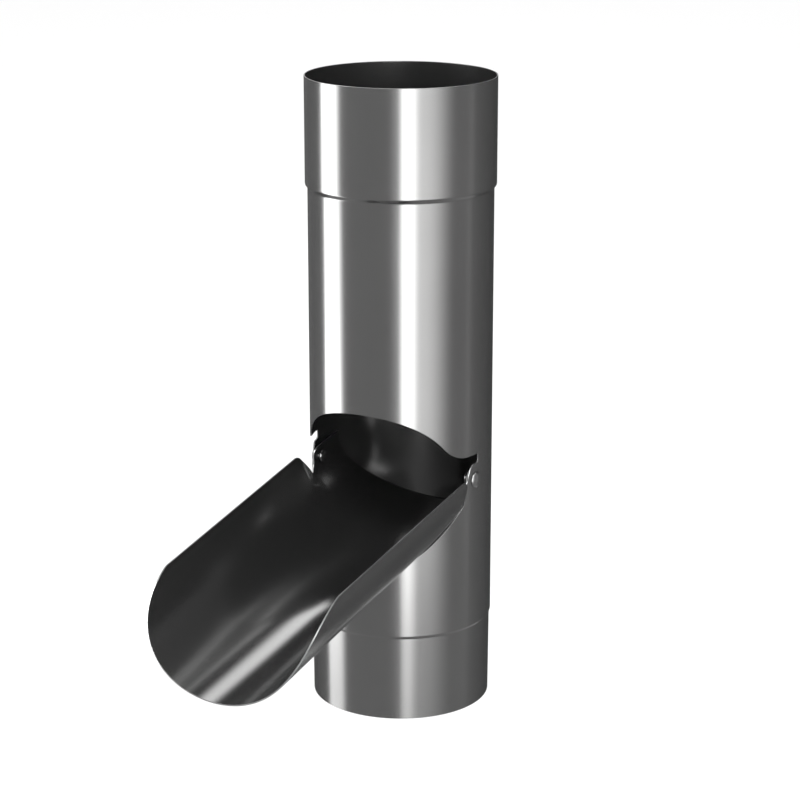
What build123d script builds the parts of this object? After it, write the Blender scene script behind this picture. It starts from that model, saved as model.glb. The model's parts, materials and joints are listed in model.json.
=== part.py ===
"""Rainwater diverter for a round downpipe: a length of sheet pipe with a folding chute.

The pipe stands on its spigot with its axis on Z and the origin at the centre of its bottom rim.
The chute comes out of the window in the pipe's front, towards -Y, and turns on two rivets along X.
Stored as in use: open, with the chute lying just clear of the window's lower edge.
"""
from build123d import *
import os
from math import cos, radians, sin, sqrt

# Sheet and pipe, in millimetres
sheet = 0.6
pipe_radius = 43.5
pipe_height = 301.3
socket_swell = 1.17
socket_length = 48.4
spigot_squeeze = 0.86
spigot_length = 38.4
swage_length = 2.6
swage_bend = 5.0

# Hinge line
hinge_y = -6.8
hinge_z = 114.3

# Chute, seen along its own length: a round bottom and two walls up to the rims
chute_tilt = 7.5
trough_inset = 1.8
rim_rise = 5.25
round_angle = 32.0
ear_tuck = 1.1
wing_splay = 2.6
mouth_splay = 0.1

# Chute, seen from the side: distances out from the hinge, and heights over it
ear_radius = 6.2
ear_drop = 1.3
notch_reach = 9.45
notch_drop = 4.55
notch_bend = 0.6
wing_start = 12.9
wing_root = 12.2
wing_bend = 6.5
rim_reach = 136.9
mouth_reach = 171.6
mouth_swell_reach = 162.7
mouth_swell_drop = 11.75
catcher_gap = 0.6

# Window in the pipe, seen from the side: distances out from the hinge, and heights over it
arch_rise = 35.4
arch_radius = 66.6
arch_foot_reach = 18.3
arch_foot_rise = 18.1
slot_rise = 12.35
slot_width = 4.3
slot_reach_back = 1.8
slot_corner = 0.9
slot_bend = 1.9
throat_reach = 13.3
throat_bend = 14.0
tab_radius = 6.3
tab_shoulder_reach = 3.2
tab_shoulder_bend = 3.0
tab_foot_reach = 8.0
window_gap = 1.4
foot_relief = 1.2

# Rivets
rivet_radius = 2.0
rivet_head_radius = 3.85
rivet_head_height = 1.5
rivet_tail_radius = 3.5
rivet_tail_height = 1.5
rivet_clearance = 0.06
head_seat = 0.03
tail_clearance = 0.15

# Sizes and places that follow from these
bore_radius = pipe_radius - sheet
socket_radius = pipe_radius + socket_swell
spigot_radius = pipe_radius - spigot_squeeze
trough_radius = pipe_radius - trough_inset
ear_half_width = trough_radius - ear_tuck
wing_half_width = trough_radius + wing_splay
mouth_half_width = trough_radius + mouth_splay
back_reach = pipe_radius - hinge_y
hinge_point = (0, hinge_y, hinge_z)
chute_out = (0, -cos(radians(chute_tilt)), -sin(radians(chute_tilt)))
chute_plane = Plane(origin=hinge_point, x_dir=(1, 0, 0), z_dir=chute_out)
chute_side = Plane(origin=hinge_point, x_dir=chute_out, z_dir=(-1, 0, 0))
trough_floor = rim_rise - trough_radius
wall_normal = (sqrt(1 - (hinge_y / pipe_radius) ** 2), hinge_y / pipe_radius, 0)
wall_point = (pipe_radius * wall_normal[0], hinge_y, hinge_z)
ear_inside = sqrt((trough_radius - sheet) ** 2 - (rim_rise + rivet_tail_radius) ** 2)
tail_x = ear_inside - ear_tuck - tail_clearance
tail_tip_radius = rivet_tail_radius - rivet_tail_height / 2
head_crown = (rivet_head_radius**2 + rivet_head_height**2) / (2 * rivet_head_height)
arch_foot_y = hinge_y - arch_foot_reach
throat_y = hinge_y - throat_reach
slot_end_y = hinge_y + slot_reach_back
tab_shoulder_y = hinge_y - tab_shoulder_reach
tab_foot_y = hinge_y - tab_foot_reach
far = 2 * pipe_radius


def trough_section(reach, half_width):
    """The bent sheet's section at a distance out from the hinge, with its rims half_width apart."""
    with BuildSketch(chute_plane.offset(reach)) as section:
        with BuildLine():
            floor = CenterArc((0, rim_rise), trough_radius, -90, round_angle)
            wall = TangentArc(floor @ 1, (half_width, rim_rise), tangent=floor % 1)
            inner_floor = CenterArc((0, rim_rise), trough_radius - sheet, -90, round_angle)
            inner_rim = (half_width - sheet, rim_rise)
            inner_wall = TangentArc(inner_floor @ 1, inner_rim, tangent=inner_floor % 1)
            Line(wall @ 1, inner_wall @ 1)
            mirror(about=Plane.YZ)
        make_face()
    return section


def window_edge_z(y):
    """Height at which a tunnel that clears the trough by the window gap meets the pipe's wall."""
    below_rims = sqrt((trough_radius + window_gap) ** 2 - pipe_radius**2 + y**2)
    tilt = radians(chute_tilt)
    return hinge_z + (rim_rise - below_rims + (y - hinge_y) * sin(tilt)) / cos(tilt)


# Pipe: the wall's profile is turned round the axis, then the window is cut
with BuildPart() as pipe_body:
    with BuildSketch(Plane.XZ):
        with BuildLine():
            wall_line = FilletPolyline(
                (spigot_radius, 0),
                (spigot_radius, spigot_length),
                (pipe_radius, spigot_length + swage_length),
                (pipe_radius, pipe_height - socket_length - swage_length),
                (socket_radius, pipe_height - socket_length),
                (socket_radius, pipe_height),
                radius=swage_bend,
            )
            offset(wall_line, amount=sheet, side=Side.LEFT)
        make_face()
    revolve(axis=Axis.Z)

    slot_z = hinge_z + slot_rise
    arch_z = hinge_z + arch_rise
    with BuildSketch(Plane.YZ) as window:
        with BuildLine():
            top = Polyline((-far, window_edge_z(-pipe_radius)), (-far, arch_z), (-pipe_radius, arch_z))
            arch = RadiusArc(top @ 1, (arch_foot_y, hinge_z + arch_foot_rise), arch_radius)
            slot = Polyline(
                arch @ 1,
                (throat_y, slot_z),
                (slot_end_y, slot_z),
                (slot_end_y, slot_z - slot_width),
                (tab_shoulder_y, slot_z - slot_width),
            )
            tab_front = (hinge_y - tab_radius, hinge_z)
            tab_foot = (tab_foot_y, window_edge_z(tab_foot_y) - foot_relief)
            tab = ThreePointArc(slot @ 1, tab_front, tab_foot)
            edge_middle_y = (tab_foot_y - pipe_radius) / 2
            edge_middle = (edge_middle_y, window_edge_z(edge_middle_y))
            edge = ThreePointArc(tab @ 1, edge_middle, (-pipe_radius, window_edge_z(-pipe_radius)))
            Line(edge @ 1, top @ 0)
        make_face()
        corners = window.vertices()
        fillet(corners.sort_by_distance((throat_y, slot_z))[0], throat_bend)
        fillet(corners.sort_by_distance((slot_end_y, slot_z))[0], slot_corner)
        fillet(corners.sort_by_distance((slot_end_y, slot_z - slot_width))[0], slot_bend)
        fillet(corners.sort_by_distance((tab_shoulder_y, slot_z - slot_width))[0], tab_shoulder_bend)
    extrude(amount=far, both=True, mode=Mode.SUBTRACT)

    with BuildSketch(Plane.YZ):
        with Locations((hinge_y, hinge_z)):
            Circle(rivet_radius + rivet_clearance)
    extrude(amount=far, both=True, mode=Mode.SUBTRACT)
pipe_body.part.label = "pipe_body"

# Chute: one sheet through sections, trimmed to its outline from the side and from above
with BuildPart() as chute:
    sections = [
        trough_section(-back_reach, ear_half_width),
        trough_section(notch_reach, ear_half_width),
        trough_section(wing_root, wing_half_width),
        trough_section(mouth_reach, mouth_half_width),
    ]
    for nearer, further in zip(sections, sections[1:]):
        loft(sections=[nearer.sketch, further.sketch], ruled=True)

    with BuildSketch(chute_side):
        with BuildLine():
            rims = FilletPolyline(
                (-far, trough_floor - sheet),
                (-far, rim_rise),
                (ear_radius, rim_rise),
                (ear_radius, -ear_drop),
                (notch_reach, -notch_drop),
                (wing_start, rim_rise),
                (rim_reach, rim_rise),
                radius=[1, ear_radius - ear_drop, 1, notch_bend, wing_bend],
            )
            swell = (mouth_swell_reach, -mouth_swell_drop)
            mouth = ThreePointArc(rims @ 1, swell, (mouth_reach, trough_floor))
            Polyline(mouth @ 1, (mouth_reach, trough_floor - sheet), rims @ 0)
        make_face()
    extrude(amount=far, both=True, mode=Mode.INTERSECT)

    with BuildSketch():
        with Locations((0, far)):
            Rectangle(2 * far, 2 * far)
        Circle(bore_radius - catcher_gap, mode=Mode.SUBTRACT)
    extrude(amount=pipe_height, mode=Mode.SUBTRACT)

    with BuildSketch(Plane.YZ):
        with Locations((hinge_y, hinge_z)):
            Circle(rivet_radius + rivet_clearance)
    extrude(amount=far, both=True, mode=Mode.SUBTRACT)
chute.part.label = "chute"

# Rivet: a domed head flat on the pipe's wall, a shank on the hinge line, a flared tail inside the ear
with BuildPart() as rivet_right:
    with BuildSketch(Plane(origin=wall_point, x_dir=(0, 0, 1), z_dir=(-wall_normal[1], wall_normal[0], 0))):
        with BuildLine():
            dome = RadiusArc((0, rivet_head_height), (rivet_head_radius, 0), head_crown)
            Polyline(dome @ 1, (rivet_head_radius, -rivet_head_height), (0, -rivet_head_height), dome @ 0)
        make_face()
    revolve(axis=Axis(wall_point, wall_normal))
    with BuildSketch():
        Circle(pipe_radius + head_seat)
    extrude(amount=pipe_height, mode=Mode.SUBTRACT)

    with BuildSketch(Plane.YZ.offset(tail_x)):
        with Locations((hinge_y, hinge_z)):
            Circle(rivet_radius)
    extrude(amount=wall_point[0] + head_seat - tail_x)

    with BuildSketch(Plane(origin=(tail_x, hinge_y, hinge_z), x_dir=(-1, 0, 0), z_dir=(0, -1, 0))):
        with BuildLine():
            tail = Polyline((rivet_tail_height, 0), (0, 0), (0, rivet_tail_radius))
            Polyline(tail @ 1, (rivet_tail_height, tail_tip_radius), tail @ 0)
        make_face()
    revolve(axis=Axis(hinge_point, (1, 0, 0)))
rivet_right.part.label = "rivet_right"

with BuildPart() as rivet_left:
    mirror(rivet_right.part, about=Plane.YZ)
rivet_left.part.label = "rivet_left"

os.makedirs("parts", exist_ok=True)
export_step(pipe_body.part, "parts/pipe_body.step")
export_step(chute.part, "parts/chute.step")
export_step(rivet_left.part, "parts/rivet_left.step")
export_step(rivet_right.part, "parts/rivet_right.step")
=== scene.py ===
"""Looks of a round-downpipe rainwater diverter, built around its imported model.

Four pieces stand for the model's four solids: the pipe with its window, the folding chute and the two
rivets that it turns on. All lengths are in metres, in the model's own frame: +Z up along the pipe's axis,
the chute towards -Y, the hinge line along X, and the origin at the centre of the pipe's bottom rim.
"""

import json
import math
from collections import namedtuple

import bpy
import numpy as np
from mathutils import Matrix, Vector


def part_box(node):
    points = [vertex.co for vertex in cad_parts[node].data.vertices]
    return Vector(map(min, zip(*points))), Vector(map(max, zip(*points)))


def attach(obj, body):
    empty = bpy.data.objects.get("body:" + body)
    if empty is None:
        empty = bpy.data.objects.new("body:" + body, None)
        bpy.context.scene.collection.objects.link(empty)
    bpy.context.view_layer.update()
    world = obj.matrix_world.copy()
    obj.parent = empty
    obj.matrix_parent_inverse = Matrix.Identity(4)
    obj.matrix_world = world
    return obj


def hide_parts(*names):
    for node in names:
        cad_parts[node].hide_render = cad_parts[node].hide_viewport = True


bl_info = {
    "name": "Rainwater Diverter",
    "version": (1, 0, 0),
    "blender": (4, 5, 0),
    "location": "View3D > Sidebar > Diverter",
    "description": "Builds a sheet-metal rainwater diverter, its finishes and its studio",
    "category": "Add Mesh",
}

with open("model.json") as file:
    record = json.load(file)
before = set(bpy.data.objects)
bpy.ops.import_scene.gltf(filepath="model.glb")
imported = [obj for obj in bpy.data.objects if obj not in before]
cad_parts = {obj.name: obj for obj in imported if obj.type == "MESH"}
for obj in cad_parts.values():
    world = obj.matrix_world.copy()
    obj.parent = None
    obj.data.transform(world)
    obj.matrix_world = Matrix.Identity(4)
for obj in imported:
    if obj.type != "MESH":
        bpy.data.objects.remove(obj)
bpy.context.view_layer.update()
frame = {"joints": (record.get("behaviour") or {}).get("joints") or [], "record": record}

MM = 0.001
TINY = 1e-9

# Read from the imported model
MOUNTS = {mount["name"]: mount for mount in frame["record"]["mounts"]}
HINGE_Y, HINGE_Z = frame["joints"][0]["pos_m"][1:]
PIPE_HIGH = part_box("pipe_body")[1]
PIPE_HEIGHT = PIPE_HIGH[2]
SOCKET_RADIUS = PIPE_HIGH[0]
SPIGOT_RADIUS = MOUNTS["spigot"]["dims"]["r_mm"] * MM
SHEET = SOCKET_RADIUS - MOUNTS["socket"]["dims"]["r_mm"] * MM

# Pipe between its steps, and trough: outer radii, height of the trough's rims over the hinge, and its tilt
PIPE_RADIUS = 43.5 * MM
TROUGH_RADIUS = 41.7 * MM
RIM_RISE = 5.25 * MM
CHUTE_TILT = math.radians(7.5)

# Window, seen from the side: distances out from the hinge line, heights over it, and radii
WINDOW_GAP = 1.4 * MM
FOOT_RELIEF = 1.2 * MM
TAB_FOOT_REACH = 8.0 * MM
TAB_RADIUS = 6.3 * MM
TAB_SHOULDER_REACH = 3.2 * MM
TAB_SHOULDER_BEND = 3.0 * MM
SLOT_RISE = 12.35 * MM
SLOT_WIDTH = 4.3 * MM
SLOT_REACH_BACK = 1.8 * MM
SLOT_LOW_BEND = 1.9 * MM
SLOT_HIGH_BEND = 0.9 * MM
SLOT_END_GAP = 0.4 * MM
THROAT_REACH = 13.3 * MM
THROAT_BEND = 14.0 * MM
ARCH_FOOT_REACH = 18.3 * MM
ARCH_FOOT_RISE = 18.1 * MM
ARCH_RISE = 35.4 * MM
ARCH_RADIUS = 66.6 * MM

# The slot's sides in the model's frame
SLOT_END = HINGE_Y + SLOT_REACH_BACK
SLOT_TOP = HINGE_Z + SLOT_RISE
SLOT_BOTTOM = SLOT_TOP - SLOT_WIDTH
SLOT_MIDDLE = (SLOT_TOP + SLOT_BOTTOM) / 2

# The pipe's mesh: heights that the window lies between, and how its rows and columns are shared out
PLAIN_BELOW = 66 * MM
PLAIN_ABOVE = 155 * MM
STEP_SPREAD = 1.0 * MM
STEP_ROWS = 22
BEND_ROWS = 14
WINDOW_COLUMNS = 150
REAR_COLUMNS = 70

# Chute's outline, seen from the side: distances out from the hinge line, heights over it, and radii
EAR_RADIUS = 6.2 * MM
EAR_DROP = 1.3 * MM
EAR_BEND = 4.9 * MM
EAR_FOOT_BEND = 1.0 * MM
NOTCH_DROP = 4.2 * MM
NOTCH_NEAR = 9.05 * MM
NOTCH_FAR = 9.85 * MM
WING_START = 12.9 * MM
WING_BEND = 6.5 * MM
RIM_REACH = 136.9 * MM
MOUTH_SWELL_REACH = 162.7 * MM
MOUTH_SWELL_DROP = 11.75 * MM
CATCHER_GAP = 0.6 * MM

# Where the chute widens from ears to wings, and how much sooner it does so below a share of its section
FLARE_START = 9.45 * MM
FLARE_END = 12.2 * MM
FLARE_LEAD = 5.5 * MM
FLARE_LEAD_SHARE = 0.83
FLARE_LEAD_FADE = 0.12

# The chute's mesh: its rows and columns, and the reaches whose sections shape the notch, mouth and back
CATCHER_ROWS = 30
TROUGH_ROWS = 64
BOTTOM_COLUMNS = 44
RIM_COLUMNS = 16
RIM_SHARE = 0.18
NOTCH_SECTION = 12.5 * MM
MOUTH_SECTION = 150 * MM
BACK_SECTION = -20 * MM

# Rivets
HEAD_SEAT = 0.03 * MM
HEAD_EDGE_HEIGHT = 0.15 * MM
HEAD_EDGE_INSET = 0.12 * MM
NECK_BEND = 0.05 * MM

# Metal: how much the clouds change its colour and the rolling marks its gloss, and the marks' relief
METALLIC = 0.93
CLOUD_SCALE = 22.0
CLOUD_SPREAD = 0.03
MARK_SCALE = (900.0, 900.0, 14.0)
MARK_SPREAD = 0.015
MARK_STRENGTH = 0.012
MARK_DEPTH = 0.2 * MM
CUT_EDGE_ROUGHNESS = 0.3
RIVET_GRAIN = 0.6

# Camera, fitted to the photograph
CAMERA_AZIMUTH = math.radians(26.8)
CAMERA_DISTANCE = 1.08634
CAMERA_HEIGHT = 0.4572
CAMERA_PITCH = math.radians(15.994)
LENS_MM = 106.63
SENSOR_MM = 36.0
LENS_SHIFT = -0.00118

# Stage: the floor's size, matt colour and share of own glow, the world's light, and the tent's size
FLOOR_RADIUS = 6.0
FLOOR_MATT = (0.8, 0.8, 0.8, 1.0)
FLOOR_GLOW_SHARE = 0.88
WORLD_LIGHT = 0.7
TENT_RADIUS = 1.6
TENT_LOW, TENT_HIGH = -1.1, 2.6
TENT_ROWS = 75
TENT_COLUMNS = 721

# Tent's own glow: fades towards the rear over these degrees, and is less above this height at the sides
TENT_REAR_GLOW = 0.08
TENT_REAR_START, TENT_REAR_SPAN = 88, 75
TENT_SIDE_START, TENT_SIDE_SPAN = 80, 30
TENT_UPPER_START, TENT_UPPER_SPAN = 0.1, 0.5
TENT_UPPER_LOSS = 0.65

# Bright strips of the tent: degrees to the right of the camera's direction, and metres up. In this order
# they make the pipe's left band, the same low down, its front band, that band's soft edge, the slope to
# the right of it, a faint line at the right, a faint glow at the left rear, the streak in the trough, and
# the light from above in front
Strip = namedtuple("Strip", "middle half rise fall glow bottom top")
STRIPS = (
    Strip(-96, 10, 3, 12, 18.0, TENT_LOW, TENT_HIGH),
    Strip(-96, 10, 3, 12, 8.0, TENT_LOW, -0.35),
    Strip(4.6, 3.8, 2, 15, 13.0, TENT_LOW, TENT_HIGH),
    Strip(3, 3, 15, 12, 2.0, TENT_LOW, TENT_HIGH),
    Strip(17.5, 9.5, 8, 42, 6.0, TENT_LOW, TENT_HIGH),
    Strip(91, 1, 5, 7, 0.35, TENT_LOW, TENT_HIGH),
    Strip(-140, 14, 14, 14, 0.14, TENT_LOW, 0.5),
    Strip(-174.9, 2.2, 11, 6, 6.4, 0.9, 2.3),
    Strip(0, 95, 40, 25, 10.0, 2.0, TENT_HIGH),
)
STRIP_END_FADE = 0.15
STRIP_LOW_START, STRIP_LOW_SPAN = -0.34, 0.3
STRIP_LOW_LOSS = 0.75


class PipeSizes(bpy.types.PropertyGroup):
    """Sizes of the pipe that a user may change."""

    socket_length: bpy.props.FloatProperty(
        name="Socket length", description="From the top rim down to the upper step",
        default=50.3 * MM, subtype="DISTANCE")
    spigot_length: bpy.props.FloatProperty(
        name="Spigot length", description="From the bottom rim up to the lower step",
        default=41.0 * MM, subtype="DISTANCE")
    spigot_taper: bpy.props.FloatProperty(
        name="Spigot taper", description="How much wider the spigot is at its step than at its rim",
        default=0.3 * MM, subtype="DISTANCE")
    socket_step: bpy.props.FloatProperty(
        name="Socket step", description="Height of the slope below the socket",
        default=1.6 * MM, subtype="DISTANCE")
    spigot_step: bpy.props.FloatProperty(
        name="Spigot step", description="Height of the slope above the spigot",
        default=0.7 * MM, subtype="DISTANCE")
    step_rounding: bpy.props.FloatProperty(
        name="Step rounding", description="Height over which each corner of a step is rounded",
        default=0.5 * MM, subtype="DISTANCE")
    edge_bevel: bpy.props.FloatProperty(
        name="Edge rounding", description="Rounding of the cut edges of the sheet",
        default=0.13 * MM, subtype="DISTANCE")


class ChuteSizes(bpy.types.PropertyGroup):
    """Sizes of the chute that a user may change."""

    round_angle: bpy.props.FloatProperty(
        name="Round bottom", description="Half angle of the trough's round bottom",
        default=math.radians(32), subtype="ANGLE")
    ear_half_width: bpy.props.FloatProperty(
        name="Half width at the ears", description="From the middle to the ear's outside",
        default=40.6 * MM, subtype="DISTANCE")
    wing_half_width: bpy.props.FloatProperty(
        name="Half width at the wings", description="From the middle to the wing's outside",
        default=44.3 * MM, subtype="DISTANCE")
    mouth_half_width: bpy.props.FloatProperty(
        name="Half width at the mouth", description="From the middle to the rim's outside",
        default=41.8 * MM, subtype="DISTANCE")
    mouth_reach: bpy.props.FloatProperty(
        name="Reach", description="From the hinge line to the lip",
        default=171.6 * MM, subtype="DISTANCE")


class RivetSizes(bpy.types.PropertyGroup):
    """Sizes of the two rivets that a user may change."""

    shank_radius: bpy.props.FloatProperty(
        name="Shank radius", description="Radius of the rivet's shank",
        default=2.0 * MM, subtype="DISTANCE")
    head_radius: bpy.props.FloatProperty(
        name="Head radius", description="Radius of the domed head outside the pipe",
        default=3.85 * MM, subtype="DISTANCE")
    head_height: bpy.props.FloatProperty(
        name="Head height", description="Height of the domed head",
        default=1.5 * MM, subtype="DISTANCE")
    tail_radius: bpy.props.FloatProperty(
        name="Tail radius", description="Radius of the tail inside the ear",
        default=3.5 * MM, subtype="DISTANCE")
    tail_height: bpy.props.FloatProperty(
        name="Tail height", description="Height of the tail",
        default=1.5 * MM, subtype="DISTANCE")


class Finishes(bpy.types.PropertyGroup):
    """Colours and gloss that a user may change."""

    steel: bpy.props.FloatVectorProperty(
        name="Sheet", description="Colour of the sheet metal", size=3,
        default=(0.078, 0.078, 0.0775), subtype="COLOR", min=0, max=1)
    rivet: bpy.props.FloatVectorProperty(
        name="Rivets", description="Colour of the rivets", size=3,
        default=(0.09, 0.09, 0.09), subtype="COLOR", min=0, max=1)
    cut_edge: bpy.props.FloatVectorProperty(
        name="Cut edges", description="Colour of the bare metal where the sheet is cut", size=3,
        default=(0.17, 0.17, 0.17), subtype="COLOR", min=0, max=1)
    sheet_roughness: bpy.props.FloatProperty(
        name="Sheet roughness", description="How soft the sheet's reflections are",
        default=0.17, subtype="FACTOR", min=0, max=1)
    rivet_roughness: bpy.props.FloatProperty(
        name="Rivet roughness", description="How soft the rivets' reflections are",
        default=0.09, subtype="FACTOR", min=0, max=1)
    backdrop: bpy.props.FloatVectorProperty(
        name="Backdrop", description="Colour of the floor and of what lies behind it", size=3,
        default=(1.0, 1.0, 1.0), subtype="COLOR", min=0, max=1)


def graded(start, end, count, finer_at_start=1.0):
    """Values from start to end; a power above 1 makes the steps near the start finer."""
    return start + (end - start) * np.linspace(0, 1, count) ** finer_at_start


def smooth_step(share):
    """0 below 0, 1 above 1, and 3 s^2 - 2 s^3 between."""
    share = np.clip(share, 0, 1)
    return share * share * (3 - 2 * share)


def ramp(z, low, height, rounding):
    """0 below a slope, 1 above it, with corners rounded: the mean of the sharp ramp over +-rounding."""
    def summed(x):
        x = np.clip((x - low) / height, 0, None)
        return np.where(x < 1, x * x / 2, x - 0.5) * height
    return (summed(z + rounding) - summed(z - rounding)) / (2 * rounding)


def rounded_line(corners, radii, steps=8):
    """Points of a line through corners, each inner corner replaced by an arc of its radius.

    An arc of radius r at a turn by angle a starts r * tan(a / 2) before the corner, and its points are
    the centre plus r times the turning direction from the first tangent point to the second.
    """
    corners = np.array(corners, float)
    line = [corners[:1]]
    for before, corner, after, radius in zip(corners, corners[1:], corners[2:], radii):
        into = (corner - before) / np.linalg.norm(corner - before)
        out = (after - corner) / np.linalg.norm(after - corner)
        side = np.sign(into[0] * out[1] - into[1] * out[0])
        turn = math.acos(np.clip(into @ out, -1, 1))
        start = corner - into * radius * math.tan(turn / 2)
        normal = np.array([-into[1], into[0]]) * side
        angle = np.linspace(0, turn, steps)[:, None]
        line.append(start + normal * radius * (1 - np.cos(angle)) + into * radius * np.sin(angle))
    line.append(corners[-1:])
    return np.concatenate(line)


def arc_through(first, middle, last, steps=24):
    """Points of the circle's arc that starts at first, passes middle and ends at last."""
    a, b, c = (np.array(p, float) for p in (first, middle, last))
    matrix = 2 * np.array([b - a, c - a])
    centre = np.linalg.solve(matrix, [b @ b - a @ a, c @ c - a @ a])
    angles = [math.atan2(*(p - centre)[::-1]) for p in (a, b, c)]
    turn = np.unwrap(angles)
    radius = np.linalg.norm(a - centre)
    angle = np.linspace(turn[0], turn[2], steps)
    return centre + radius * np.stack([np.cos(angle), np.sin(angle)], axis=-1)


def heights_at(y, line):
    """Height of a line of (y, z) at each y, and its last height from its end on."""
    at_end = y > line[-1, 0] - TINY
    return np.where(at_end, line[-1, 1], np.interp(y, line[:, 0], line[:, 1]))


def grid_faces(rows, columns, closed=False):
    """Corner indices of the quads of a grid, row by row; closed joins the last column to the first."""
    row = np.arange(rows - 1)[:, None] * columns
    column = np.arange(columns if closed else columns - 1)
    after = (column + 1) % columns
    return np.stack([row + column, row + after, row + columns + after, row + columns + column], axis=-1)


def without_unused(points, faces):
    """The points that faces use, and the faces' corner indices counted among those points alone."""
    used, index = np.unique(faces, return_inverse=True)
    return points[used], index.reshape(faces.shape).tolist()


def mesh_piece(name, points, faces, materials, body, replaced):
    """A smooth mesh object from an array of points and lists of corner indices, riding on a body."""
    mesh = bpy.data.meshes.new(name)
    mesh.from_pydata(points.tolist(), [], faces)
    mesh.validate()
    mesh.update()
    mesh.shade_smooth()
    for material in materials:
        mesh.materials.append(material)
    piece = bpy.data.objects.new(name, mesh)
    bpy.context.scene.collection.objects.link(piece)
    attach(piece, body)
    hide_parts(*replaced)
    return piece


def sheet_edges(piece, thickness, bevel):
    """Gives a surface the sheet's thickness, inwards, and rounds its cut edges, which are bare metal."""
    wall = piece.modifiers.new("Wall", "SOLIDIFY")
    wall.material_offset_rim = 1
    wall.thickness = thickness
    wall.offset = -1
    wall.use_even_offset = True
    rounding = piece.modifiers.new("Edges", "BEVEL")
    rounding.width = bevel
    rounding.segments = 2
    rounding.limit_method = "ANGLE"
    rounding.angle_limit = math.radians(40)
    rounding.harden_normals = True


def noise(nodes, links, place, scale, detail):
    """Output of a cloudy noise texture laid over the places that are given."""
    texture = nodes.new("ShaderNodeTexNoise")
    texture.inputs["Scale"].default_value = scale
    texture.inputs["Detail"].default_value = detail
    links.new(place, texture.inputs["Vector"])
    return texture.outputs["Fac"]


def varied(nodes, links, source, reach, middle, spread):
    """Output that spreads to both sides of middle as the source goes from 0.5 - reach to 0.5 + reach."""
    span = nodes.new("ShaderNodeMapRange")
    span.inputs["From Min"].default_value = 0.5 - reach
    span.inputs["From Max"].default_value = 0.5 + reach
    span.inputs["To Min"].default_value = middle - spread
    span.inputs["To Max"].default_value = middle + spread
    links.new(source, span.inputs["Value"])
    return span.outputs["Result"]


def steel(name, colour, roughness, grain=1.0):
    """Satin rolled steel: metal whose gloss and colour vary a little, with faint rolling marks along Z."""
    material = bpy.data.materials.new(name)
    material.use_nodes = True
    nodes, links = material.node_tree.nodes, material.node_tree.links
    shader = nodes["Principled BSDF"]
    shader.inputs["Metallic"].default_value = METALLIC
    place = nodes.new("ShaderNodeTexCoord").outputs["Object"]

    clouds = noise(nodes, links, place, scale=CLOUD_SCALE, detail=4.0)
    tint = nodes.new("ShaderNodeVectorMath")
    tint.operation = "SCALE"
    tint.inputs[0].default_value = colour
    brightness = varied(nodes, links, clouds, reach=0.2, middle=1.0, spread=CLOUD_SPREAD)
    links.new(brightness, tint.inputs["Scale"])
    links.new(tint.outputs["Vector"], shader.inputs["Base Color"])

    stretch = nodes.new("ShaderNodeMapping")
    stretch.inputs["Scale"].default_value = MARK_SCALE
    links.new(place, stretch.inputs["Vector"])
    marks = noise(nodes, links, stretch.outputs["Vector"], scale=1.0, detail=3.0)
    gloss = varied(nodes, links, marks, reach=0.25, middle=roughness, spread=MARK_SPREAD * grain)
    links.new(gloss, shader.inputs["Roughness"])

    bump = nodes.new("ShaderNodeBump")
    bump.inputs["Strength"].default_value = MARK_STRENGTH * grain
    bump.inputs["Distance"].default_value = MARK_DEPTH
    links.new(marks, bump.inputs["Height"])
    links.new(bump.outputs["Normal"], shader.inputs["Normal"])
    return material


def sheet_materials(kind, finishes):
    """Materials of the sheet's faces and of its cut edges."""
    return [steel(kind + "_steel", finishes.steel, finishes.sheet_roughness),
            steel(kind + "_cut_edge", finishes.cut_edge, CUT_EDGE_ROUGHNESS)]


def tunnel_z(y):
    """Height at which a tunnel that clears the trough by the window's gap meets the pipe's wall.

    The tunnel's height below the rims is the root of its radius squared less the wall's distance to the
    side squared, which is the pipe's radius squared less y squared; then it is tilted like the chute.
    """
    below = math.sqrt((TROUGH_RADIUS + WINDOW_GAP) ** 2 - PIPE_RADIUS ** 2 + y ** 2)
    return HINGE_Z + (RIM_RISE - below + (y - HINGE_Y) * math.sin(CHUTE_TILT)) / math.cos(CHUTE_TILT)


def window_low_edge():
    """The window's lower edge as a line of (y, z): the chute's gap, the tab and the slot's lower half."""
    foot_y = HINGE_Y - TAB_FOOT_REACH
    foot = (foot_y, tunnel_z(foot_y) - FOOT_RELIEF)
    shoulder = (HINGE_Y - TAB_SHOULDER_REACH, SLOT_BOTTOM)
    middle_y = (foot_y - PIPE_RADIUS) / 2
    front = arc_through((-PIPE_RADIUS, tunnel_z(-PIPE_RADIUS)), (middle_y, tunnel_z(middle_y)), foot)
    tab = arc_through(foot, (HINGE_Y - TAB_RADIUS, HINGE_Z), shoulder, steps=12)
    slot_low = (SLOT_END, SLOT_MIDDLE - SLOT_END_GAP / 2)
    tab_end = rounded_line([tab[-3], shoulder, (SLOT_END, SLOT_BOTTOM), slot_low],
                           [TAB_SHOULDER_BEND, SLOT_LOW_BEND])
    return np.concatenate([front[:-1], tab[:-3], tab_end])


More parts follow.
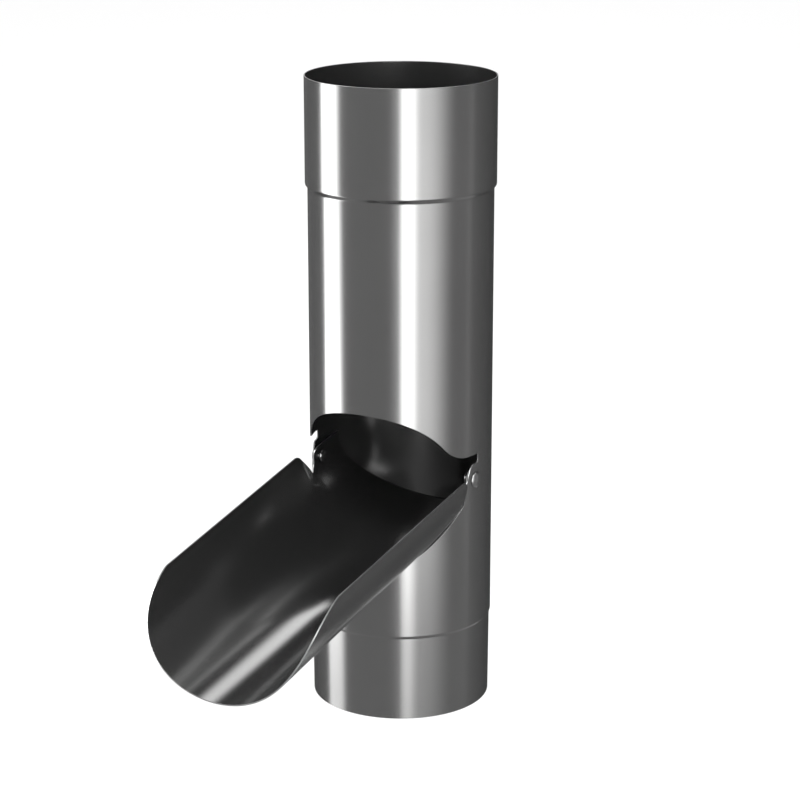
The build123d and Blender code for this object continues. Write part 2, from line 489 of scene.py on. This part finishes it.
def window_high_edge():
    """The window's upper edge as a line of (y, z): the arch, its foot and the slot's upper half.

    The arch's middle lies off its chord by the radius less the root of the radius squared less half the
    chord squared.
    """
    foot = np.array([HINGE_Y - ARCH_FOOT_REACH, HINGE_Z + ARCH_FOOT_RISE])
    top = np.array([-PIPE_RADIUS, HINGE_Z + ARCH_RISE])
    chord = foot - top
    length = np.linalg.norm(chord)
    across = np.array([chord[1], -chord[0]]) / length
    sagitta = ARCH_RADIUS - math.sqrt(ARCH_RADIUS ** 2 - (length / 2) ** 2)
    arch = arc_through(top, (foot + top) / 2 - across * sagitta, foot)
    slot_high = (SLOT_END, SLOT_MIDDLE + SLOT_END_GAP / 2)
    slot = rounded_line([foot, (HINGE_Y - THROAT_REACH, SLOT_TOP), (SLOT_END, SLOT_TOP), slot_high],
                        [THROAT_BEND, SLOT_HIGH_BEND])
    return np.concatenate([arch[:-1], slot])


def pipe_columns(window_angle):
    """Angles from the front, left to right, finer and finer towards the ends of the window's slots."""
    toward_slot = window_angle * (1 - graded(1, 0, WINDOW_COLUMNS) ** 1.25)
    away = window_angle + (math.pi - window_angle) * graded(0, 1, REAR_COLUMNS, finer_at_start=1.4)
    half = np.concatenate([toward_slot, away[1:]])
    return np.concatenate([-half[:0:-1], half[:-1]])


class BuildPipe(bpy.types.Operator):
    """Builds the pipe: a turned sheet wall with a socket, a spigot and a window"""

    bl_idname = "diverter.build_pipe"
    bl_label = "Pipe"

    def execute(self, context):
        """The wall's radius is a function of height, and the rows part where the window lies."""
        sizes = context.scene.diverter_pipe
        angle = pipe_columns(math.acos(-SLOT_END / PIPE_RADIUS))
        y = -PIPE_RADIUS * np.cos(angle)
        low_z = heights_at(y, window_low_edge())
        high_z = heights_at(y, window_high_edge())

        socket_base = PIPE_HEIGHT - sizes.socket_length
        lower_step = (sizes.spigot_length - STEP_SPREAD,
                      sizes.spigot_length + sizes.spigot_step + STEP_SPREAD)
        upper_step = socket_base - sizes.socket_step - STEP_SPREAD, socket_base + STEP_SPREAD
        below = np.concatenate([graded(0, lower_step[0], 6)[:-1],
                                graded(*lower_step, STEP_ROWS),
                                graded(lower_step[1], PLAIN_BELOW, 5)[1:]])
        above = np.concatenate([graded(PLAIN_ABOVE, upper_step[0], 6)[:-1],
                                graded(*upper_step, STEP_ROWS),
                                graded(upper_step[1], PIPE_HEIGHT, 6)[1:]])
        share = np.linspace(0, 1, BEND_ROWS)[:, None]
        rows = np.concatenate([
            np.repeat(below[:, None], len(angle), axis=1),
            below[-1] + (low_z - below[-1]) * share[1:],
            (low_z + (high_z - low_z) * 0.5)[None, :],
            high_z + (above[0] - high_z) * share[:-1],
            np.repeat(above[:, None], len(angle), axis=1),
        ])
        radius = self.radius_at(rows, sizes)
        points = np.stack([radius * np.sin(angle), -radius * np.cos(angle), rows], axis=-1)

        faces = grid_faces(len(rows), len(angle), closed=True)
        in_window = y < SLOT_END + TINY
        low_row = len(below) + BEND_ROWS - 2
        keep = np.ones(faces.shape[:2], bool)
        keep[low_row:low_row + 2, in_window & np.roll(in_window, -1)] = False
        points, faces = without_unused(points.reshape(-1, 3), faces[keep])
        piece = mesh_piece("pipe_wall", points, faces,
                           sheet_materials("Pipe", context.scene.diverter_finishes),
                           "pipe", ["pipe_body"])
        sheet_edges(piece, SHEET, sizes.edge_bevel)
        return {"FINISHED"}

    def radius_at(self, z, sizes):
        """The wall's outer radius: the spigot's, which grows with height, and two steps out from it."""
        spigot = SPIGOT_RADIUS + sizes.spigot_taper * np.clip(z / sizes.spigot_length, 0, 1)
        upper_foot = PIPE_HEIGHT - sizes.socket_length - sizes.socket_step
        return (spigot + (PIPE_RADIUS - SPIGOT_RADIUS - sizes.spigot_taper)
                * ramp(z, sizes.spigot_length, sizes.spigot_step, sizes.step_rounding)
                + (SOCKET_RADIUS - PIPE_RADIUS)
                * ramp(z, upper_foot, sizes.socket_step, sizes.step_rounding))


def chute_section(half_width, share, round_angle):
    """Section of the trough from its bottom (share 0) to its rim (share 1): x, and height over the hinge.

    Up to the round angle it is a circle of the trough's radius. From there it is the circle that leaves
    that one smoothly and ends at the rim, half_width from the middle: its radius is the distance from
    start to rim squared, divided by twice the rim's distance along the start's normal.
    """
    ball = TROUGH_RADIUS
    split = round_angle / (math.pi / 2)
    bottom = np.minimum(share / split, 1) * round_angle
    start = ball * np.array([math.sin(round_angle), -math.cos(round_angle)])
    normal = -start / ball
    to_rim = np.stack([half_width - start[0], np.full_like(half_width, -start[1])])
    radius = (to_rim ** 2).sum(0) / (2 * (normal[0] * to_rim[0] + normal[1] * to_rim[1]))
    centre = start[0] + normal[0] * radius, start[1] + normal[1] * radius
    end = np.arctan2(half_width - centre[0], centre[1])
    end = np.where(end < 0, end + math.pi, end)
    angle = round_angle + (end - round_angle) * np.clip((share - split) / (1 - split), 0, 1)
    on_wall = share > split
    x = np.where(on_wall, centre[0] + radius * np.sin(angle), ball * np.sin(bottom))
    height = np.where(on_wall, centre[1] - radius * np.cos(angle), -ball * np.cos(bottom))
    return x, RIM_RISE + height


def chute_half_width(reach, across, sizes):
    """The rim's distance from the middle that shapes the section at each reach and share of it.

    It goes from the ears' to the wings' on a smooth step, which starts sooner towards the bottom, and
    from the wings' to the mouth's in proportion to the reach.
    """
    lead = FLARE_LEAD * smooth_step((FLARE_LEAD_SHARE - across) / FLARE_LEAD_FADE)
    flare = smooth_step((reach - FLARE_START + lead) / (FLARE_END - FLARE_START + lead))
    along = np.clip((reach - FLARE_END) / (sizes.mouth_reach - FLARE_END), 0, 1)
    wing = sizes.wing_half_width + (sizes.mouth_half_width - sizes.wing_half_width) * along
    return sizes.ear_half_width + (wing - sizes.ear_half_width) * flare


class BuildChute(bpy.types.Operator):
    """Builds the chute: a bent sheet with wings, ears, notches, a curved mouth and a catcher"""

    bl_idname = "diverter.build_chute"
    bl_label = "Chute"

    def execute(self, context):
        """Columns run across the section and rows along it, and the rows part where the notch is."""
        sizes = context.scene.diverter_chute
        bottom_share = graded(0, 1 - RIM_SHARE, BOTTOM_COLUMNS)
        rim_share = 1 - graded(0, RIM_SHARE, RIM_COLUMNS, finer_at_start=2.0)[::-1]
        half_share = np.concatenate([bottom_share[:-1], rim_share])
        share = np.concatenate([-half_share[:0:-1], half_share])
        across = np.abs(share)

        def section(reach):
            """Distance from the middle and height over the hinge, for an array of reaches by columns."""
            reach = np.broadcast_to(reach, np.broadcast_shapes(np.shape(reach), across.shape))
            half_width = chute_half_width(reach, across, sizes)
            return chute_section(half_width, np.broadcast_to(across, reach.shape), sizes.round_angle)

        at_notch = section(NOTCH_SECTION)[1]
        ear = rounded_line([(0, RIM_RISE), (EAR_RADIUS, RIM_RISE), (EAR_RADIUS, -EAR_DROP),
                            (NOTCH_NEAR, -NOTCH_DROP)], [EAR_BEND, EAR_FOOT_BEND])
        wing = rounded_line([(NOTCH_FAR, -NOTCH_DROP), (WING_START, RIM_RISE), (RIM_REACH, RIM_RISE)],
                            [WING_BEND])
        ear_end = np.interp(at_notch, ear[::-1, 1], ear[::-1, 0])
        wing_start = np.interp(at_notch, wing[:-1, 1], wing[:-1, 0])
        mouth = arc_through((RIM_REACH, RIM_RISE), (MOUTH_SWELL_REACH, -MOUTH_SWELL_DROP),
                            (sizes.mouth_reach, RIM_RISE - TROUGH_RADIUS), steps=60)
        mouth_end = np.interp(section(MOUTH_SECTION)[1], mouth[::-1, 1], mouth[::-1, 0])
        back_x, back_height = section(BACK_SECTION)
        back_y = np.sqrt((PIPE_RADIUS - SHEET - CATCHER_GAP) ** 2 - back_x ** 2)
        back = (HINGE_Y - back_y - back_height * math.sin(CHUTE_TILT)) / math.cos(CHUTE_TILT)

        reach = np.concatenate([
            back + (ear_end - back) * graded(0, 1, CATCHER_ROWS)[:, None],
            ((ear_end + wing_start) / 2)[None, :],
            wing_start + (mouth_end - wing_start) * graded(0, 1, TROUGH_ROWS, finer_at_start=1.8)[:, None],
        ])
        x, height = section(reach)
        points = np.stack([
            x * np.sign(share),
            HINGE_Y - reach * math.cos(CHUTE_TILT) - height * math.sin(CHUTE_TILT),
            HINGE_Z - reach * math.sin(CHUTE_TILT) + height * math.cos(CHUTE_TILT),
        ], axis=-1)

        faces = grid_faces(len(reach), len(share))
        in_notch = at_notch > -NOTCH_DROP
        keep = np.ones(faces.shape[:2], bool)
        keep[CATCHER_ROWS - 1:CATCHER_ROWS + 1, in_notch[:-1] | in_notch[1:]] = False
        points, faces = without_unused(points.reshape(-1, 3), faces[keep][:, ::-1])
        piece = mesh_piece("chute_sheet", points, faces,
                           sheet_materials("Chute", context.scene.diverter_finishes),
                           "chute", ["chute"])
        sheet_edges(piece, SHEET, context.scene.diverter_pipe.edge_bevel)
        return {"FINISHED"}


def rivet_profile(sizes, tail_x, wall_x):
    """A rivet's outline from the tail's tip to the head's top, as (distance out of the wall, radius)."""
    crown = np.linspace(0, math.pi / 2, 12)
    tail = np.stack([tail_x - wall_x - sizes.tail_height * np.cos(crown),
                     sizes.tail_radius * np.sin(crown)], axis=-1)
    shank = rounded_line([tail[-1], (tail_x - wall_x, sizes.shank_radius), (0.0, sizes.shank_radius),
                          (HEAD_SEAT, sizes.head_radius - HEAD_EDGE_INSET)],
                         [NECK_BEND, NECK_BEND], steps=3)
    head = np.stack([HEAD_EDGE_HEIGHT + (sizes.head_height - HEAD_EDGE_HEIGHT) * np.sin(crown),
                     sizes.head_radius * np.cos(crown)], axis=-1)
    return np.concatenate([tail, shank[1:], head])


def turned_rivet(sizes, tail_x, side):
    """Points and faces of the rivet on the right (side 1) or left (side -1), turned from its profile.

    Inside the wall the profile turns round the hinge line. Outside it turns round the wall's normal, and
    each point is moved in by its distance to the side squared over twice the pipe's radius, so that the
    head lies on the round wall.
    """
    wall_x = math.sqrt(PIPE_RADIUS ** 2 - HINGE_Y ** 2)
    lean = math.asin(HINGE_Y / PIPE_RADIUS)
    profile = rivet_profile(sizes, tail_x, wall_x)
    turn = np.linspace(0, 2 * math.pi, 64, endpoint=False)
    along, radius = profile[1:-1, 0][:, None], profile[1:-1, 1][:, None]
    across = radius * np.cos(turn)
    outside = along >= -TINY
    lean_here = np.where(outside, lean, 0.0)
    depth = along - np.where(outside, across ** 2 / (2 * PIPE_RADIUS), 0.0)
    x = wall_x + depth * np.cos(lean_here) - across * np.sin(lean_here)
    y = HINGE_Y + depth * np.sin(lean_here) + across * np.cos(lean_here)
    rings = np.stack([side * x, y, HINGE_Z + radius * np.sin(turn)], axis=-1)
    tip = [side * (tail_x - sizes.tail_height), HINGE_Y, HINGE_Z]
    top = [side * (wall_x + sizes.head_height * math.cos(lean)),
           HINGE_Y + sizes.head_height * math.sin(lean), HINGE_Z]
    points = np.concatenate([rings.reshape(-1, 3), [tip, top]])

    rows, columns = rings.shape[:2]
    here = np.arange(columns)
    after = (here + 1) % columns
    tip_index, top_index = rows * columns, rows * columns + 1
    last = (rows - 1) * columns
    faces = grid_faces(rows, columns, closed=True).reshape(-1, 4).tolist()
    faces += [[tip_index, b, a] for a, b in zip(here, after)]
    faces += [[top_index, last + a, last + b] for a, b in zip(here, after)]
    if side > 0:
        faces = [face[::-1] for face in faces]
    return points, faces


class BuildRivets(bpy.types.Operator):
    """Builds the two rivets: a domed head flat on the pipe, a shank on the hinge line and a tail"""

    bl_idname = "diverter.build_rivets"
    bl_label = "Rivets"

    def execute(self, context):
        """The tail starts where the solid's does, and the other lengths are the rivet's sizes."""
        sizes = context.scene.diverter_rivets
        finishes = context.scene.diverter_finishes
        material = steel("Rivet_metal", finishes.rivet, finishes.rivet_roughness, grain=RIVET_GRAIN)
        for side, node in ((1, "rivet_right"), (-1, "rivet_left")):
            lowest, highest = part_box(node)
            tail_x = min(abs(lowest[0]), abs(highest[0])) + sizes.tail_height
            points, faces = turned_rivet(sizes, tail_x, side)
            piece = mesh_piece(node + "_turned", points, faces, [material], "pipe", [node])
            piece.data.set_sharp_from_angle(angle=math.radians(35))
        return {"FINISHED"}


def around(degrees, distance):
    """Point at that distance from the pipe's axis, degrees to the right of the camera's direction."""
    angle = CAMERA_AZIMUTH + np.radians(degrees)
    return np.sin(angle) * distance, -np.cos(angle) * distance


def bare_material(name):
    """A material with an output node and no shader, with its nodes and links."""
    material = bpy.data.materials.new(name)
    material.use_nodes = True
    nodes, links = material.node_tree.nodes, material.node_tree.links
    nodes.remove(nodes["Principled BSDF"])
    return material, nodes, links


def white_where_seen(nodes, links):
    """1 for rays from the camera and for mirrored and transmitted rays, 0 for the rest."""
    path = nodes.new("ShaderNodeLightPath")
    seen = path.outputs["Is Camera Ray"]
    for kind in ("Is Glossy Ray", "Is Transmission Ray"):
        either = nodes.new("ShaderNodeMath")
        either.operation = "MAXIMUM"
        links.new(seen, either.inputs[0])
        links.new(path.outputs[kind], either.inputs[1])
        seen = either.outputs[0]
    return seen


class BuildStudio(bpy.types.Operator):
    """Builds the stage: a pale floor, a white world, a round light tent and the camera"""

    bl_idname = "diverter.build_studio"
    bl_label = "Studio"

    def execute(self, context):
        """The floor is a disc, and the tent stands on a circle round the pipe."""
        self.floor(context)
        self.world(context)
        self.tent(context)
        self.camera(context)
        return {"FINISHED"}

    def floor(self, context):
        """A disc that mostly glows white to the camera and is matt to other light.

        It casts no shadow and doesn't show in reflections.
        """
        turn = np.linspace(0, 2 * math.pi, 96, endpoint=False)
        rim = np.stack([FLOOR_RADIUS * np.cos(turn), FLOOR_RADIUS * np.sin(turn), 0 * turn], axis=-1)
        mesh = bpy.data.meshes.new("floor")
        mesh.from_pydata(rim.tolist(), [], [list(range(len(turn)))])
        floor = bpy.data.objects.new("floor", mesh)
        context.scene.collection.objects.link(floor)
        floor.visible_glossy = False
        floor.visible_shadow = False
        material, nodes, links = bare_material("Floor_white")
        matt = nodes.new("ShaderNodeBsdfDiffuse")
        matt.inputs["Color"].default_value = FLOOR_MATT
        glow = nodes.new("ShaderNodeEmission")
        glow.inputs["Color"].default_value = (*context.scene.diverter_finishes.backdrop, 1.0)
        share = nodes.new("ShaderNodeMath")
        share.operation = "MULTIPLY"
        share.inputs[1].default_value = FLOOR_GLOW_SHARE
        links.new(white_where_seen(nodes, links), share.inputs[0])
        mix = nodes.new("ShaderNodeMixShader")
        links.new(share.outputs[0], mix.inputs[0])
        links.new(matt.outputs[0], mix.inputs[1])
        links.new(glow.outputs[0], mix.inputs[2])
        links.new(mix.outputs[0], nodes["Material Output"].inputs["Surface"])
        mesh.materials.append(material)

    def world(self, context):
        """White to the camera and in reflections, and dimmer as a light on matt surfaces."""
        world = bpy.data.worlds.new("Studio")
        context.scene.world = world
        world.use_nodes = True
        nodes, links = world.node_tree.nodes, world.node_tree.links
        seen = nodes["Background"]
        seen.inputs["Color"].default_value = (*context.scene.diverter_finishes.backdrop, 1.0)
        seen.inputs["Strength"].default_value = 1.0
        soft = nodes.new("ShaderNodeBackground")
        soft.inputs["Color"].default_value = (1, 1, 1, 1)
        soft.inputs["Strength"].default_value = WORLD_LIGHT
        mix = nodes.new("ShaderNodeMixShader")
        links.new(white_where_seen(nodes, links), mix.inputs[0])
        links.new(soft.outputs[0], mix.inputs[1])
        links.new(seen.outputs[0], mix.inputs[2])
        links.new(mix.outputs[0], nodes["World Output"].inputs["Surface"])

    def tent_glow(self, degrees, height):
        """Strength of the tent's light: 1 in front, fading to 0.08 at the rear, plus the bright strips.

        Across a strip the glow rises on a smooth step before its half width and falls on one after it,
        and it does so over a short height at its bottom and top. Far below the floor's level the strips
        fade to a quarter. From the sides to the rear, the tent's own glow is less higher up.
        """
        away = np.abs(degrees)
        rear = np.clip((away - TENT_REAR_START) / TENT_REAR_SPAN, 0, 1)
        upper = smooth_step((height - TENT_UPPER_START) / TENT_UPPER_SPAN)
        upper = upper * smooth_step((away - TENT_SIDE_START) / TENT_SIDE_SPAN)
        glow = (1 - TENT_REAR_GLOW) * (1 - rear) ** 2 + TENT_REAR_GLOW
        glow = glow * (1 - TENT_UPPER_LOSS * upper)
        low = 1 - STRIP_LOW_LOSS * smooth_step((STRIP_LOW_START - height) / STRIP_LOW_SPAN)
        for strip in STRIPS:
            off = (degrees - strip.middle + 180) % 360 - 180
            across = smooth_step((off + strip.half) / strip.rise + 1)
            across = across * (1 - smooth_step((off - strip.half) / strip.fall))
            ends = smooth_step((height - strip.bottom) / STRIP_END_FADE + 1)
            ends = ends * (1 - smooth_step((height - strip.top) / STRIP_END_FADE))
            glow = glow + strip.glow * across * ends * low
        return glow

    def tent(self, context):
        """A round light tent, which the camera doesn't see and which casts no shadow."""
        degrees = np.linspace(-180, 180, TENT_COLUMNS)
        height = np.linspace(TENT_LOW, TENT_HIGH, TENT_ROWS)[:, None]
        x, y = around(degrees, TENT_RADIUS)
        points = np.stack(np.broadcast_arrays(x, y, height), axis=-1).reshape(-1, 3)
        faces = grid_faces(len(height), len(degrees)).reshape(-1, 4)
        mesh = bpy.data.meshes.new("tent")
        mesh.from_pydata(points.tolist(), [], faces.tolist())
        glow = self.tent_glow(degrees, height)
        mesh.attributes.new("glow", "FLOAT", "POINT").data.foreach_set("value", glow.ravel())
        tent = bpy.data.objects.new("tent", mesh)
        context.scene.collection.objects.link(tent)
        tent.visible_camera = False
        tent.visible_shadow = False
        material, nodes, links = bare_material("Tent_glow")
        level = nodes.new("ShaderNodeAttribute")
        level.attribute_name = "glow"
        light = nodes.new("ShaderNodeEmission")
        links.new(level.outputs["Fac"], light.inputs["Strength"])
        links.new(light.outputs[0], nodes["Material Output"].inputs["Surface"])
        mesh.materials.append(material)

    def camera(self, context):
        """A camera in front of the pipe, turned and pitched down as it was for the photograph."""
        lens = bpy.data.cameras.new("Camera")
        lens.lens = LENS_MM
        lens.sensor_width = SENSOR_MM
        lens.shift_x = LENS_SHIFT
        lens.clip_start = 50 * MM
        camera = bpy.data.objects.new("Camera", lens)
        camera.location = (*around(0, CAMERA_DISTANCE), CAMERA_HEIGHT)
        camera.rotation_euler = (math.pi / 2 - CAMERA_PITCH, 0, CAMERA_AZIMUTH)
        context.scene.collection.objects.link(camera)
        context.scene.camera = camera


class DiverterPanel(bpy.types.Panel):
    """Lists the diverter's sizes, finishes and build steps."""

    bl_idname = "VIEW3D_PT_diverter"
    bl_label = "Rainwater Diverter"
    bl_space_type = "VIEW_3D"
    bl_region_type = "UI"
    bl_category = "Diverter"

    def draw(self, context):
        """One box of values for each group, then one button for each build step."""
        for group_name in GROUPS:
            group = getattr(context.scene, group_name)
            box = self.layout.box()
            for name in group.bl_rna.properties.keys():
                if name not in ("rna_type", "name"):
                    box.prop(group, name)
        for operator in OPERATORS:
            self.layout.operator(operator.bl_idname)


GROUPS = {
    "diverter_pipe": PipeSizes,
    "diverter_chute": ChuteSizes,
    "diverter_rivets": RivetSizes,
    "diverter_finishes": Finishes,
}
OPERATORS = (BuildPipe, BuildChute, BuildRivets, BuildStudio)


def register():
    """Registers the classes and hangs the groups of values on the scene."""
    for kind in (*GROUPS.values(), *OPERATORS, DiverterPanel):
        bpy.utils.register_class(kind)
    for name, group in GROUPS.items():
        setattr(bpy.types.Scene, name, bpy.props.PointerProperty(type=group))


def unregister():
    """Undoes what register does."""
    for name in GROUPS:
        delattr(bpy.types.Scene, name)
    for kind in reversed((*GROUPS.values(), *OPERATORS, DiverterPanel)):
        bpy.utils.unregister_class(kind)


def main():
    """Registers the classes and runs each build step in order."""
    register()
    bpy.ops.diverter.build_pipe()
    bpy.ops.diverter.build_chute()
    bpy.ops.diverter.build_rivets()
    bpy.ops.diverter.build_studio()
    bpy.context.scene.view_settings.view_transform = "Standard"
    bpy.context.view_layer.update()


if __name__ == "__main__":
    main()
